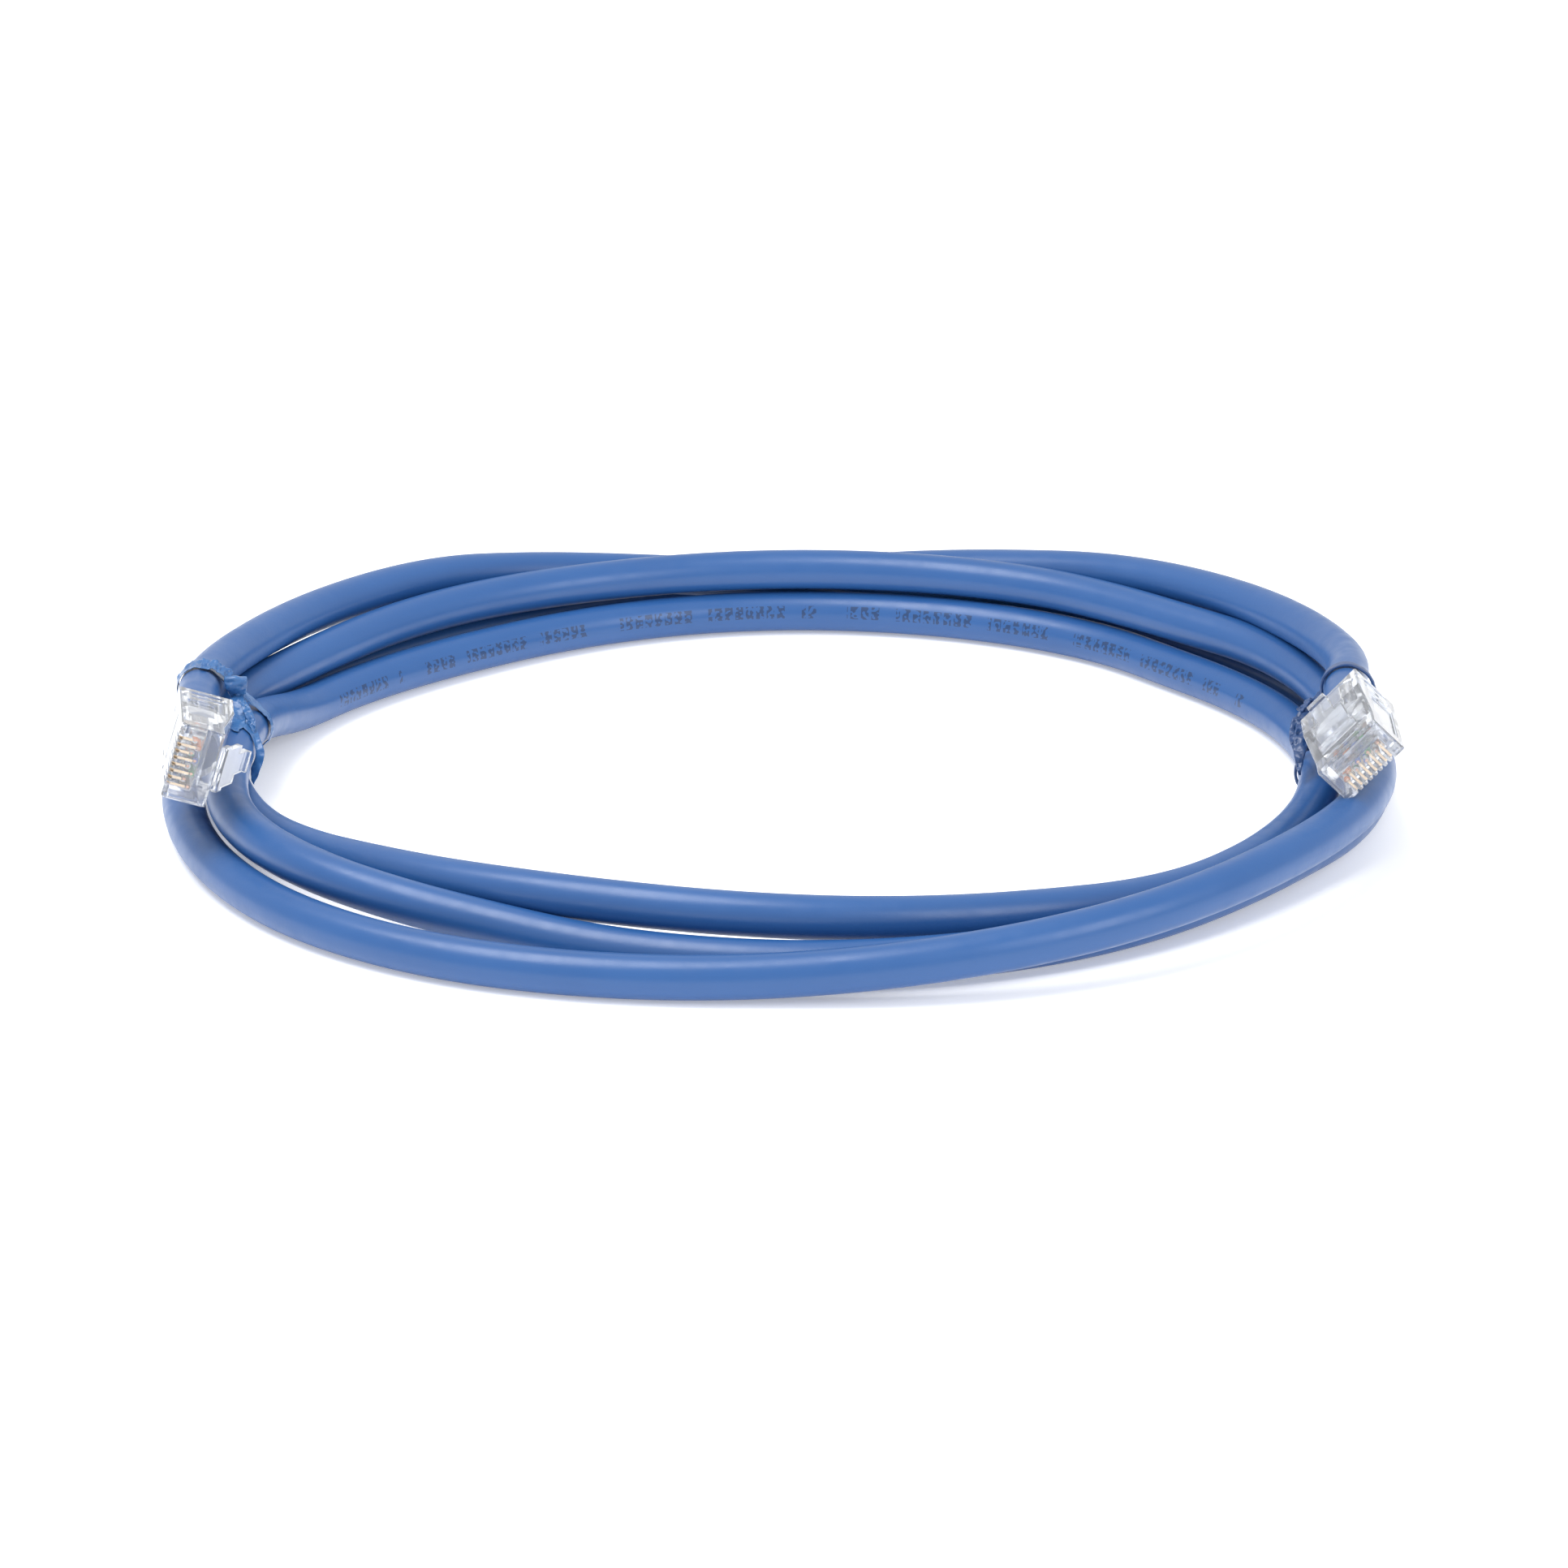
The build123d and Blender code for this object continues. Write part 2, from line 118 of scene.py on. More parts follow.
# Plug frames, as in the CAD source
JACKET_END = 7.5
LEAD_STRAIGHT = 12.0
LEFT_REAR = (-88.3, -25.2, 18.8)
LEFT_NOSE_DIRECTION = (0.107, -1.0, 0.058)
RIGHT_REAR = (84.8, -20.7, 19.6)
RIGHT_NOSE_DIRECTION = (-0.01, -1.0, 0.01)

# The cable's two loose stretches, as in the CAD source
LEFT_LEAD = (
    (-89.4, 12.0, 16.3), (-77.3, 46.2, 14.4), (-58.5, 69.7, 13.5), (-40.0, 82.0, 10.5),
    (-20.5, 88.5, 7.9),
)
RIGHT_LEAD = (
    (88.4, 14.0, 17.2), (78.4, 46.3, 15.2), (57.5, 71.8, 13.3), (34.0, 86.5, 9.6),
    (13.3, 94.9, 6.3),
)

# The wound turns: angle from the left side over the back, distance from the middle, height
TURN_STEP = 10
COIL_TURNS = (
    (90, 90.2, 6.2), (100, 89.3, 3.3), (110, 89.5, 3.25), (135, 90.5, 3.25), (160, 90.0, 3.25),
    (180, 89.5, 3.3), (205, 86.4, 4.2), (213, 84.6, 4.4), (240, 84, 3.4), (270, 82.9, 3.25),
    (293, 80.6, 3.3), (298, 81.3, 4.2), (308, 85.6, 6.2), (324, 90, 8.0), (340, 89.0, 8.3),
    (350, 85.8, 10.2), (360, 82.9, 10.4), (367, 82.4, 8.3), (375, 82.0, 4.6), (382, 81.6, 3.25),
    (390, 80.6, 3.25), (409, 78.8, 3.25), (450, 83.5, 3.25), (487, 84.2, 3.25), (499, 82, 3.25),
    (520, 83.5, 3.25), (540, 83.4, 3.25), (559, 82.4, 3.25), (570, 81.8, 3.25), (582, 80.8, 3.3),
    (594, 79.8, 4.5), (602, 79.5, 5.7), (626, 78.8, 7.7), (645, 78.0, 8.3), (660, 78.0, 7.8),
    (679, 79.3, 5.9), (690, 81, 4.2), (700, 83.4, 3.25), (710, 85.4, 3.9), (720, 87.5, 6.7),
    (727, 88.6, 8.8), (735, 86.8, 9.4), (742, 85, 9.2), (750, 83.8, 9.5), (769, 84, 9.75),
    (790, 84.2, 9.6), (810, 84.2, 10), (844, 86.0, 9.8), (856, 83.8, 9.9), (872, 87, 9.75),
    (900, 88, 9.0), (915, 92.3, 9.9), (939, 93.5, 10.2), (959, 94, 8.4), (976, 92, 5.9),
    (990, 90, 3.8), (1002, 91.3, 3.25), (1020, 94.4, 3.25), (1038, 95.1, 3.25), (1056, 93.1, 3.25),
    (1070, 91.3, 3.25), (1080, 90.8, 3.25), (1087, 90.6, 3.25), (1095, 89.3, 3.25),
    (1102, 88.5, 3.25), (1110, 87.6, 3.25), (1125, 86.6, 3.25), (1140, 88.5, 3.25),
    (1150, 92.5, 3.25), (1160, 95.5, 3.25), (1170, 96.0, 3.8),
)
SETTLE_ROUNDS = 60
# Shares of a point's own push that it keeps, and that it takes over from each neighbour
KEPT_PUSH, SHARED_PUSH = 0.7, 0.15


def smooth_value(places, values, place):
    """The value at a place on the smooth curve through the given ones."""
    after = next((i for i, p in enumerate(places) if p > place), len(places) - 1)
    low = max(0, after - 1)

    def slope(i):
        first, last = max(0, i - 1), min(len(places) - 1, i + 1)
        return (values[last] - values[first]) / (places[last] - places[first])

    span = places[low + 1] - places[low]
    t = (place - places[low]) / span
    return (
        (2 * t**3 - 3 * t**2 + 1) * values[low] + (t**3 - 2 * t**2 + t) * slope(low) * span
        + (3 * t**2 - 2 * t**3) * values[low + 1] + (t**3 - t**2) * slope(low + 1) * span
    )


def wound_turns():
    """Points of the turns, one each TURN_STEP degrees, pushed apart where two would overlap."""
    angles, radii, heights = zip(*COIL_TURNS)
    stations = range(angles[0], angles[-1] + 1, TURN_STEP)
    wanted = [
        Vector((smooth_value(angles, radii, a), max(CABLE_RADIUS, smooth_value(angles, heights, a))))
        for a in stations
    ]
    placed = [point.copy() for point in wanted]
    per_turn = 360 // TURN_STEP
    for _ in range(SETTLE_ROUNDS):
        for first in range(per_turn):
            same_angle = range(first, len(placed), per_turn)
            for i in same_angle:
                for j in same_angle:
                    gap = placed[j] - placed[i]
                    if i < j and gap.length < CABLE_DIAMETER:
                        push = gap.normalized() * (CABLE_DIAMETER - gap.length) / 2
                        placed[i] -= push
                        placed[j] += push
        moved = [now - before for now, before in zip(placed, wanted)]
        for i in range(1, len(placed) - 1):
            placed[i] = wanted[i] + KEPT_PUSH * moved[i] + SHARED_PUSH * (moved[i - 1] + moved[i + 1])
        for point in placed:
            point.y = max(point.y, CABLE_RADIUS)
    # The spline passes inside its points by the sagitta of half a step
    outward = 1 / math.cos(math.radians(TURN_STEP / 2))
    points = []
    for angle, (radius, height) in zip(stations, placed):
        turn = math.radians(angle)
        points.append((-radius * outward * math.cos(turn), radius * outward * math.sin(turn), height))
    return points


def from_plug(rear, nose_direction):
    """The cable's first two points: inside the plug, and straight back from it."""
    nose = Vector(nose_direction).normalized()
    return [tuple(Vector(rear) + nose * z) for z in (JACKET_END, -LEAD_STRAIGHT)]


def cable_route():
    """The whole cable's points, from inside the left plug to inside the right one."""
    left = from_plug(LEFT_REAR, LEFT_NOSE_DIRECTION)
    right = from_plug(RIGHT_REAR, RIGHT_NOSE_DIRECTION)
    return [*left, *LEFT_LEAD, *wound_turns(), *reversed(RIGHT_LEAD), *reversed(right)]


def make_cable():
    """The cable as one spline, still without its thickness."""
    curve = bpy.data.curves.new("cable_jacket", "CURVE")
    curve.dimensions = "3D"
    spline = curve.splines.new("NURBS")
    route = cable_route()
    spline.points.add(len(route) - 1)
    for point, place in zip(spline.points, route):
        point.co = (*(Vector(place) * MM), 1)
    spline.order_u = 3
    spline.use_endpoint_u = True
    spline.resolution_u = SPLINE_STEPS
    cable = bpy.data.objects.new("cable_jacket", curve)
    bpy.context.scene.collection.objects.link(cable)
    return cable


def centreline(cable):
    """Points along the cable's spline in millimetres, read before it gets its thickness."""
    mesh = bpy.data.meshes.new_from_object(cable)
    points = [vertex.co / MM for vertex in mesh.vertices]
    bpy.data.meshes.remove(mesh)
    return points


def thicken(cable):
    cable.data.bevel_depth = CABLE_RADIUS * MM
    cable.data.bevel_resolution = BEVEL_STEPS
    cable.data.use_fill_caps = True


# Meshes, all in millimetres until new_piece


def new_piece(name, vertices, faces, material, body="cable"):
    """A smooth mesh piece that rides on a body."""
    mesh = bpy.data.meshes.new(name)
    mesh.from_pydata([tuple(Vector(v) * MM) for v in vertices], [], faces)
    mesh.shade_smooth()
    piece = bpy.data.objects.new(name, mesh)
    bpy.context.scene.collection.objects.link(piece)
    piece.data.materials.append(material)
    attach(piece, body)
    return piece


def grid_faces(rows, columns, closed=False):
    """Quads between rows of points; closed joins the last row to the first."""
    faces = []
    for row in range(rows if closed else rows - 1):
        for column in range(columns - 1):
            here, after = row * columns + column, ((row + 1) % rows) * columns + column
            faces.append((here, here + 1, after + 1, after))
    return faces


def joined(parts):
    """Several (vertices, faces) as one."""
    vertices, faces = [], []
    for part_vertices, part_faces in parts:
        faces += [tuple(index + len(vertices) for index in face) for face in part_faces]
        vertices += part_vertices
    return vertices, faces


def along(points, share):
    """The place at a share of the way along a smooth line through the points."""
    position = share * (len(points) - 1)
    i = min(int(position), len(points) - 2)
    t = position - i
    p0, p1, p2, p3 = (points[min(max(k, 0), len(points) - 1)] for k in range(i - 1, i + 3))
    bend = 2 * p0 - 5 * p1 + 4 * p2 - p3
    return (2 * p1 + (p2 - p0) * t + bend * t**2 + (3 * p1 - p0 - 3 * p2 + p3) * t**3) / 2


def crumple(place, creases):
    """Height of the creases of handled film at a place. creases is (seed, size, depth)."""
    seed, size, depth = creases
    at = Vector(place) / size + Vector((seed, 2 * seed, 3 * seed))
    return depth * (noise.noise(at) + 0.7 * (0.5 - abs(noise.noise(at * 2.1))) * 2 - 0.4)


def ribbon(points, across, width, creases, rows=44, columns=7):
    """A loose strip through the points. across is its direction from edge to edge, spread along
    it, and width is given by a function of the share of its length."""
    points = [Vector(p) for p in points]
    across = [Vector(a).normalized() for a in across]
    vertices = []
    for row in range(rows):
        share = row / (rows - 1)
        here = along(points, share)
        ahead = (along(points, min(1, share + 0.01)) - along(points, max(0, share - 0.01))).normalized()
        side = along(across, share)
        side = (side - ahead * side.dot(ahead)).normalized()
        face = ahead.cross(side)
        for column in range(columns):
            place = here + side * (column / (columns - 1) - 0.5) * width(share)
            vertices.append(place + face * crumple(place, creases))
    return vertices, grid_faces(rows, columns)


def leaf(width, start=0.4, tip_from=0.65, tip=0.1):
    """Width along a tail: gathered at the knot, full in the middle, narrow at the tip."""

    def at(share):
        gathered = min(1, start + 2.2 * share)
        pointed = 1 if share < tip_from else 1 - (1 - tip) * (share - tip_from) / (1 - tip_from)
        return width * gathered * pointed

    return at


def knot_turn(centre, radius, axis, width, creases):
    """One turn of the strip pulled tight round the middle of a knot."""
    centre, axis = Vector(centre), Vector(axis).normalized()
    arm = axis.orthogonal().normalized() * radius
    steps = 12
    points = [centre + Matrix.Rotation(2 * math.pi * k / steps, 3, axis) @ arm for k in range(steps + 1)]
    return ribbon(points, [axis, axis], lambda share: width, creases, rows=36)


def nearest_finder(points):
    """Finds the nearest place on the cable's middle line."""
    places = []
    for here, after in zip(points, points[1:]):
        parts = max(1, round((after - here).length / FINDER_STEP))
        places += [here.lerp(after, k / parts) for k in range(parts)]
    tree = kdtree.KDTree(len(places))
    for i, place in enumerate(places):
        tree.insert(place, i)
    tree.balance()
    return tree


def laid_on_cable(vertices, tree, gap):
    """Moves the vertices that would be in the cable out to its surface."""
    reach = CABLE_RADIUS + gap
    moved = []
    for place in vertices:
        place = Vector(place)
        for _ in range(LAYING_ROUNDS):
            centre, _, distance = tree.find(place)
            if distance < reach:
                place = centre + (place - centre).normalized() * reach
        place.z = max(place.z, gap)
        moved.append(place)
    return moved


def crossings(points, side):
    """Where the cable crosses the plane of the ties on one side (-1 left, 1 right), as (x, z)."""
    found = []
    for here, after in zip(points, points[1:]):
        if here.y * after.y <= 0 and here.y != after.y and here.x * side > 0:
            place = here.lerp(after, here.y / (here.y - after.y))
            found.append(Vector((place.x, place.z)))
    return found


def tie_outline(circles):
    """The line pulled tight round circles, each (centre, radius), as points a step apart."""
    outline = []
    for step in range(OUTLINE_DIRECTIONS):
        turn = 2 * math.pi * step / OUTLINE_DIRECTIONS
        direction = Vector((math.cos(turn), math.sin(turn)))
        centre, radius = max(circles, key=lambda circle: circle[0].dot(direction) + circle[1])
        outline.append(centre + direction * radius)
    dense = []
    for here, after in zip(outline, outline[1:] + outline[:1]):
        parts = max(1, round((after - here).length / OUTLINE_STEP))
        dense += [here.lerp(after, k / parts) for k in range(parts)]
    return dense


def wrap(circles, width, creases, lean=0):
    """A closed strip round the bundle, gathered and crumpled. It is full width over the lead and
    narrower lower down, and its top leans forward of the plane of the ties by lean."""
    outline = tie_outline(circles)
    middle = sum(outline, Vector((0, 0))) / len(outline)
    vertices = []
    for i, here in enumerate(outline):
        tangent = (outline[(i + 1) % len(outline)] - outline[i - 1]).normalized()
        outward = Vector((tangent.y, -tangent.x))
        if outward.dot(here - middle) < 0:
            outward = -outward
        gathered = 0.8 + 0.5 * noise.noise(Vector((here.x / 4, here.y / 4, creases[0])))
        rise = min(1, max(0, (here.y - WRAP_LOW) / (WRAP_HIGH - WRAP_LOW)))
        gathered *= NARROW_SHARE + (1 - NARROW_SHARE) * rise
        for column in range(WRAP_COLUMNS):
            across = (column / (WRAP_COLUMNS - 1) - 0.5) * width * gathered
            lift = max(0, crumple((here.x, across, here.y), creases))
            place = here + outward * lift
            vertices.append((place.x, across - lean * rise, place.y))
    return vertices, grid_faces(len(outline), WRAP_COLUMNS, closed=True)


def add_thickness(piece, thickness):
    solid = piece.modifiers.new("thickness", "SOLIDIFY")
    solid.thickness = thickness * MM
    solid.offset = 0
    smooth = piece.modifiers.new("smooth", "SUBSURF")
    smooth.levels = smooth.render_levels = 1


def make_film_tie(points, tree, material):
    """Crumpled film round the left bundle, with its knot beside the lead."""
    circles = [(place, CABLE_RADIUS + FILM_GAP) for place in crossings(points, -1) if place.x > FILM_OUTER_X]
    vertices, faces = wrap(circles, FILM_WIDTH, (3.1, 2.2, 0.55))
    vertices = laid_on_cable(vertices, tree, FILM_GAP)
    band = new_piece("film_tie_wrap", vertices, faces, material)
    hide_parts("film_tie_band")
    gather = [(-89.3, -1.0, 21.0), (-87.2, -1.2, 21.0), (-85.2, -1.6, 19.7), FILM_KNOT]
    lobe = [
        (-83.5, -2.4, 16.4), (-83.7, -4.0, 18.0), (-83.8, -3.8, 19.6), (-83.8, -2.0, 19.4),
        (-83.8, -1.6, 17.2),
    ]
    near_plug = [
        FILM_KNOT, (-83.6, -4.6, 16.4), (-83.3, -7.5, 14.9), (-83.3, -10.5, 13.9),
        (-83.4, -12.6, 12.8),
    ]
    long_tail = [
        (-83.3, -2.8, 16.9), (-82.6, -6.0, 15.4), (-81.9, -9.0, 13.9), (-80.9, -11.3, 12.0),
        (-80.2, -12.6, 10.2), (-80.4, -13.6, 8.0), (-80.9, -14.2, 6.0),
    ]
    short_end = [(-83.0, -4.0, 16.6), (-81.9, -6.8, 15.6), (-81.0, -9.0, 14.2), (-80.7, -10.2, 13.1)]
    gather_across = [(0, 1, 0.2), (0.2, 1, 0.4), (0.4, 1, 0.5)]
    lobe_across = [FLAT, (1, 0, -0.1), (1, 0.3, -0.2)]
    near_plug_across = [FLAT, (1, 0.2, 0.2), (0.8, 0.1, -0.5)]
    long_tail_across = [FLAT, (1, 0.2, 0.3), (1, 0, 0.1), (1, -0.3, 0)]
    short_end_across = [FLAT, (0.8, 0.4, 0.6)]

    def lobe_width(share):
        return 1.5 + 2.1 * math.sin(math.pi * share) ** 0.6

    parts = [
        ribbon(gather, gather_across, lambda share: 3.4 - 1.6 * share, (1.7, 1.3, 0.6)),
        ribbon(lobe, lobe_across, lobe_width, (5.3, 2.4, 0.5)),
        ribbon(near_plug, near_plug_across, leaf(2.4), (7.9, 2.0, 0.5)),
        ribbon(long_tail, long_tail_across, leaf(2.7, start=0.3), (2.3, 2.4, 0.5)),
        ribbon(short_end, short_end_across, leaf(1.3), (4.1, 1.4, 0.4)),
        knot_turn(FILM_KNOT, 1.15, (0.5, 0.2, 0.8), 1.6, (6.2, 1.0, 0.35)),
        knot_turn((-83.5, -2.5, 16.6), 0.9, (0.9, 0.3, -0.2), 1.4, (8.2, 1.0, 0.35)),
    ]
    vertices, faces = joined(parts)
    vertices = laid_on_cable(vertices, tree, FILM_GAP)
    tails = new_piece("film_tie_knot", vertices, faces, material)
    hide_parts("film_tie_tails")
    for piece in (band, tails):
        add_thickness(piece, FILM_THICKNESS)


def make_strap_tie(points, tree, material):
    """Narrow strip round the right bundle, twisted tight, with its knot left of the lead."""
    circles = [(place, CABLE_RADIUS + STRAP_GAP) for place in crossings(points, 1)]
    circles.append(STRAP_KNOT_CIRCLE)
    vertices, faces = wrap(circles, STRAP_WIDTH, (9.4, 3.0, 0.3), STRAP_LEAN)
    vertices = laid_on_cable(vertices, tree, STRAP_GAP)
    band = new_piece("strap_tie_wrap", vertices, faces, material)
    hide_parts("strap_tie_band")
    twist = [(82.7, -0.6, 16.2), (81.6, -1.6, 15.5), (80.2, -2.6, 15.2), (79.0, -3.4, 14.4)]
    long_tail = [
        (80.2, -3.0, 14.3), (79.4, -6.0, 13.3), (78.9, -9.0, 12.0), (78.4, -12.0, 10.0),
        (78.3, -14.0, 7.6),
    ]
    middle_tail = [(80.3, -2.6, 14.0), (80.2, -5.5, 13.3), (80.1, -8.5, 11.9), (79.7, -10.3, 10.2)]
    left_tail = [(79.6, -3.0, 14.2), (78.3, -6.0, 13.1), (77.8, -8.8, 11.6), (77.9, -10.8, 10.0)]
    twist_across = [(0, 1, 0.5), (0.3, 0.3, 1), (0, -1, 0.6), (0, -1, -0.8)]
    parts = [
        ribbon(twist, twist_across, lambda share: 1.5, (1.2, 1.1, 0.35)),
        ribbon(long_tail, [FLAT, (1, 0.4, 0.2), (1, -0.2, 0.1)], leaf(2.2), (3.6, 1.5, 0.6)),
        ribbon(middle_tail, [FLAT, (0.9, 0.2, -0.4)], leaf(1.9), (5.7, 1.3, 0.6)),
        ribbon(left_tail, [FLAT, (0.8, 0.3, 0.6)], leaf(1.6), (7.1, 1.3, 0.6)),
        knot_turn(STRAP_KNOT, 0.95, (0.9, -0.3, 0.5), 1.3, (2.9, 0.9, 0.3)),
        knot_turn((80.2, -2.6, 14.3), 0.8, (0.2, 0.5, 0.9), 1.1, (3.9, 0.9, 0.3)),
    ]
    vertices, faces = joined(parts)
    vertices = laid_on_cable(vertices, tree, STRAP_GAP)
    tails = new_piece("strap_tie_knot", vertices, faces, material)
    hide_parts("strap_tie_tails")
    for piece in (band, tails):
        add_thickness(piece, STRAP_THICKNESS)


# Materials


def surface(name, dark, light, roughness, grain, depth, patch=12.0, stripe=None, **sockets):
    """A procedural finish: colour from dark to light in soft patches, roughness between two
    values, and bumps of a grain size and a depth, sizes in millimetres. stripe is its colour,
    its direction, its pitch and the share of the pitch that it takes."""
    material = bpy.data.materials.new(name)
    material.use_nodes = True
    nodes, links = material.node_tree.nodes, material.node_tree.links
    shader = nodes["Principled BSDF"]
    for socket, value in sockets.items():
        shader.inputs[socket.replace("_", " ")].default_value = value
    place = nodes.new("ShaderNodeTexCoord").outputs["Object"]

    def noise_of(size, detail):
        texture = nodes.new("ShaderNodeTexNoise")
        texture.inputs["Scale"].default_value = 1 / (size * MM)
        texture.inputs["Detail"].default_value = detail
        links.new(place, texture.inputs["Vector"])
        return texture.outputs["Fac"]

    colour = nodes.new("ShaderNodeMix")
    colour.data_type = "RGBA"
    colour.inputs["A"].default_value = (*dark, 1)
    colour.inputs["B"].default_value = (*light, 1)
    links.new(noise_of(patch, 3), colour.inputs["Factor"])
    colour_out = colour.outputs["Result"]
    if stripe:
        stripe_colour, direction, pitch, share = stripe
        scaled = Vector(direction).normalized() / (pitch * MM)
        dot = nodes.new("ShaderNodeVectorMath")
        dot.operation = "DOT_PRODUCT"
        dot.inputs[1].default_value = scaled
        links.new(place, dot.inputs[0])
        part = nodes.new("ShaderNodeMath")
        part.operation = "FRACT"
        links.new(dot.outputs["Value"], part.inputs[0])
        inside = nodes.new("ShaderNodeMath")
        inside.operation = "LESS_THAN"
        inside.inputs[1].default_value = share
        links.new(part.outputs[0], inside.inputs[0])
        mark = nodes.new("ShaderNodeMix")
        mark.data_type = "RGBA"
        mark.inputs["B"].default_value = (*stripe_colour, 1)
        links.new(inside.outputs[0], mark.inputs["Factor"])
        links.new(colour_out, mark.inputs["A"])
        colour_out = mark.outputs["Result"]
    links.new(colour_out, shader.inputs["Base Color"])
    fine = noise_of(grain, 4)
    rough = nodes.new("ShaderNodeMapRange")
    rough.inputs["From Min"].default_value = 0.3
    rough.inputs["From Max"].default_value = 0.7
    rough.inputs["To Min"].default_value, rough.inputs["To Max"].default_value = roughness
    links.new(noise_of(grain * 6, 3), rough.inputs["Value"])
    links.new(rough.outputs["Result"], shader.inputs["Roughness"])
    bump = nodes.new("ShaderNodeBump")
    bump.inputs["Strength"].default_value = 1.0
    bump.inputs["Distance"].default_value = depth * MM
    links.new(fine, bump.inputs["Height"])
    links.new(bump.outputs["Normal"], shader.inputs["Normal"])
    return material


def print_legend(jacket):
    """Faint ink along the inner face of the innermost strand at the back: illegible marks in
    groups, where the real jacket is lettered."""
    nodes, links = jacket.node_tree.nodes, jacket.node_tree.links

    def math_node(operation, first, second=None):
        node = nodes.new("ShaderNodeMath")
        node.operation = operation
        for socket, value in zip(node.inputs, (first, second)):
            if isinstance(value, (int, float)):
                socket.default_value = value
            elif value is not None:
                links.new(value, socket)
        return node.outputs[0]

    place = nodes.new("ShaderNodeSeparateXYZ")
    links.new(nodes.new("ShaderNodeTexCoord").outputs["Object"], place.inputs[0])
    x, y, z = place.outputs
    out = math_node("SQRT", math_node("ADD", math_node("MULTIPLY", x, x), math_node("MULTIPLY", y, y)))
    run = math_node("MULTIPLY", math_node("ARCTAN2", y, x), LEGEND_RADIUS)
    strokes = nodes.new("ShaderNodeTexNoise")
    strokes.inputs["Scale"].default_value = 1 / LEGEND_STROKE
    strokes.inputs["Detail"].default_value = 0
    sheet = nodes.new("ShaderNodeCombineXYZ")
    links.new(run, sheet.inputs["X"])
    links.new(math_node("DIVIDE", z, MM), sheet.inputs["Y"])
    links.new(sheet.outputs[0], strokes.inputs["Vector"])
    conditions = [
        math_node("LESS_THAN", math_node("FRACT", math_node("DIVIDE", run, pitch)), share)
        for pitch, share in LEGEND_GROUPS
    ]
    conditions += [
        math_node("GREATER_THAN", strokes.outputs["Fac"], LEGEND_STROKE_FROM),
        math_node("GREATER_THAN", z, LEGEND_LOW * MM),
        math_node("LESS_THAN", z, LEGEND_HIGH * MM),
        math_node("LESS_THAN", out, LEGEND_REACH * MM),
        math_node("GREATER_THAN", y, LEGEND_FROM_Y * MM),
    ]
    ink = LEGEND_STRENGTH
    for condition in conditions:
        ink = math_node("MULTIPLY", condition, ink)
    base = nodes["Principled BSDF"].inputs["Base Color"]
    mark = nodes.new("ShaderNodeMix")
    mark.data_type = "RGBA"
    mark.inputs["B"].default_value = (*LEGEND_COLOUR, 1)
    links.new(ink, mark.inputs["Factor"])
    links.new(base.links[0].from_socket, mark.inputs["A"])
    links.new(mark.outputs["Result"], base)


def paint(node_name, material):
    """Gives a carried-over CAD node its finish."""
    for material_slot in NODES[node_name].material_slots:
        material_slot.material = material


def insulation_of(colour, striped, ending):
    """A conductor's plastic: plain, or white with a stripe of its colour."""
    base = WIRE_WHITE if striped else WIRE_COLOURS[colour]
    shade = tuple(WIRE_SHADE * channel for channel in base)
    stripe = (WIRE_COLOURS[colour], *WIRE_STRIPE) if striped else None
    name = f"insulation_{'white_' if striped else ''}{colour}_{ending}"
    return surface(name, shade, base, (0.32, 0.48), grain=0.3, depth=0.008, patch=2.0, stripe=stripe)


def paint_plugs():
    clear = dict(grain=1.6, depth=0.02, patch=5.0, Transmission_Weight=0.9, IOR=1.5)
    housing = surface("clear_polycarbonate", (0.88, 0.92, 0.99), (0.97, 0.98, 1.0), (0.02, 0.09), **clear)
    latch = surface("clear_latch", (0.88, 0.92, 0.99), (0.97, 0.98, 1.0), (0.03, 0.12), **clear)
    guide = surface("clear_guide", (0.90, 0.92, 0.95), (0.98, 0.98, 0.98), (0.10, 0.25), **clear)
    gold = surface(
        "gold_plate", (0.72, 0.50, 0.30), (0.90, 0.68, 0.42), (0.2, 0.38),
        grain=0.35, depth=0.004, patch=2.0, Metallic=1.0,
    )
    copper = surface(
        "bare_copper", (0.72, 0.33, 0.18), (0.95, 0.52, 0.34), (0.25, 0.42),
        grain=0.3, depth=0.01, patch=1.0, Metallic=1.0,
    )
    for side in ("left", "right"):
        paint(f"{side}_plug_housing", housing)
        paint(f"{side}_plug_latch", latch)
        paint(f"{side}_wire_guide", guide)
        paint(f"{side}_strain_bar", latch)
        paint(f"{side}_copper_cores", copper)
        for i, (colour, striped) in enumerate(CONDUCTORS, 1):
            paint(f"{side}_contact_{i}", gold)
            insulation = insulation_of(colour, striped, f"{side}_{i}")
            paint(f"{side}_conductor_{i}", insulation)


# Stage and camera


def add_area_light(name, place, size, power):
    data = bpy.data.lights.new(name, "AREA")
    data.shape = "RECTANGLE"
    data.size, data.size_y = size
    data.energy = power
    light = bpy.data.objects.new(name, data)
    light.location = place
    light.rotation_euler = (-Vector(place)).to_track_quat("-Z", "Y").to_euler()
    bpy.context.scene.collection.objects.link(light)


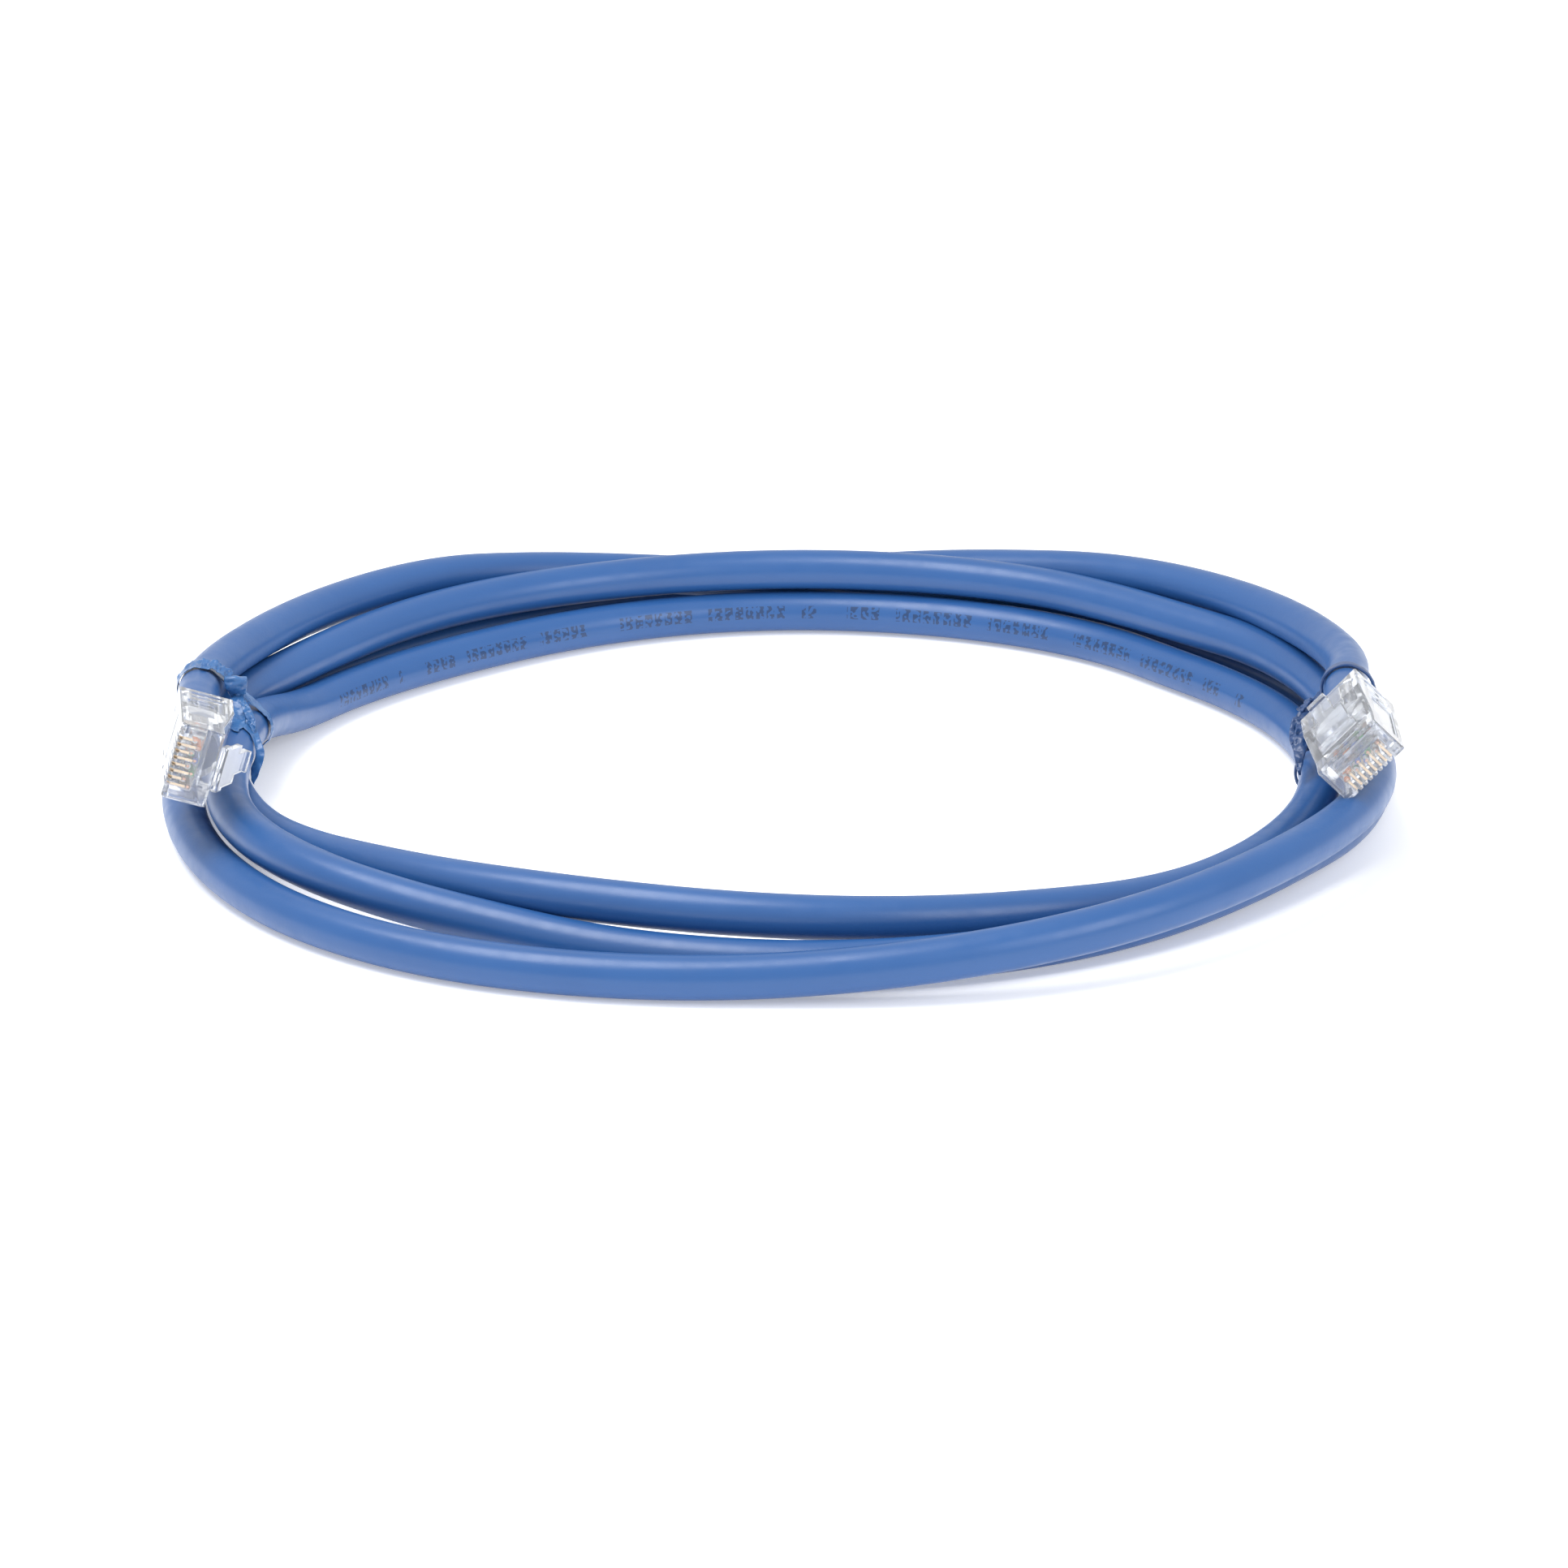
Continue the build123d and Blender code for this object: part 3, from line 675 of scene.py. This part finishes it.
def make_floor():
    mesh = bpy.data.meshes.new("floor")
    corners = [(-1, -1), (1, -1), (1, 1), (-1, 1)]
    mesh.from_pydata([(x * FLOOR_REACH, y * FLOOR_REACH, 0) for x, y in corners], [], [(0, 1, 2, 3)])
    floor = bpy.data.objects.new("floor", mesh)
    floor.location.z = -FLOOR_DROP
    floor.data.materials.append(surface(
        "floor_paint", (0.93, 0.93, 0.94), (0.95, 0.95, 0.95), (0.6, 0.7),
        grain=2.0, depth=0.01, patch=60.0, Emission_Color=(1, 1, 1, 1), Emission_Strength=FLOOR_GLOW,
    ))
    bpy.context.scene.collection.objects.link(floor)


def make_stage():
    make_floor()
    world = bpy.data.worlds.new("studio")
    bpy.context.scene.world = world
    world.use_nodes = True
    background = world.node_tree.nodes["Background"]
    background.inputs["Color"].default_value = (1, 1, 1, 1)
    background.inputs["Strength"].default_value = WORLD_STRENGTH
    for name, lamp in LAMPS.items():
        add_area_light(name, *lamp)
    bpy.context.scene.view_settings.view_transform = "Standard"


def make_camera():
    data = bpy.data.cameras.new("camera")
    data.sensor_width = 36
    data.lens = CAMERA_LENS
    data.clip_start, data.clip_end = 0.05, 20
    camera = bpy.data.objects.new("camera", data)
    elevation = math.radians(CAMERA_ELEVATION)
    back = Vector((0, -math.cos(elevation), math.sin(elevation)))
    camera.location = Vector(CAMERA_TARGET) + back * CAMERA_DISTANCE
    camera.rotation_euler = (-back).to_track_quat("-Z", "Y").to_euler()
    bpy.context.scene.collection.objects.link(camera)
    bpy.context.scene.camera = camera


# The scene


def plug_nodes(side):
    """The CAD nodes that make up one plug."""
    names = [f"{side}_{part}" for part in PLUG_PARTS]
    names += [f"{side}_{kind}_{i}" for kind in ("contact", "conductor") for i in range(1, 9)]
    return [NODES[name] for name in names]


def make_whole_cable():
    """The cable with its jacket, in the place of the three CAD cable nodes. Returns its line."""
    cable = make_cable()
    points = centreline(cable)
    thicken(cable)
    jacket = surface(
        "jacket_pvc", (0.017, 0.082, 0.255), (0.024, 0.102, 0.300), (0.29, 0.41),
        grain=0.5, depth=0.012, patch=18.0, Coat_Weight=0.08, Coat_Roughness=0.35,
    )
    cable.data.materials.append(jacket)
    print_legend(jacket)
    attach(cable, "cable")
    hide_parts("cable_coil", "left_lead", "right_lead")
    plug_nodes("right")
    return points


def make_ties(points):
    cable_places = nearest_finder(points)
    film = surface(
        "tie_film", (0.022, 0.095, 0.29), (0.07, 0.22, 0.50), (0.16, 0.34),
        grain=0.7, depth=0.05, patch=1.6, Transmission_Weight=0.2, Specular_IOR_Level=0.6,
    )
    # Painted shade: the strap is the same blue film as the left tie, and this navy, darker than the film,
    # paints in the shadow under its band and over its twisted knot and tails
    strap = surface(
        "tie_strap", (0.008, 0.028, 0.095), (0.025, 0.085, 0.25), (0.22, 0.40),
        grain=0.7, depth=0.05, patch=2.2, Specular_IOR_Level=0.6,
    )
    make_film_tie(points, cable_places, film)
    make_strap_tie(points, cable_places, strap)


make_camera()
middle_line = make_whole_cable()
make_stage()
make_ties(middle_line)
paint_plugs()
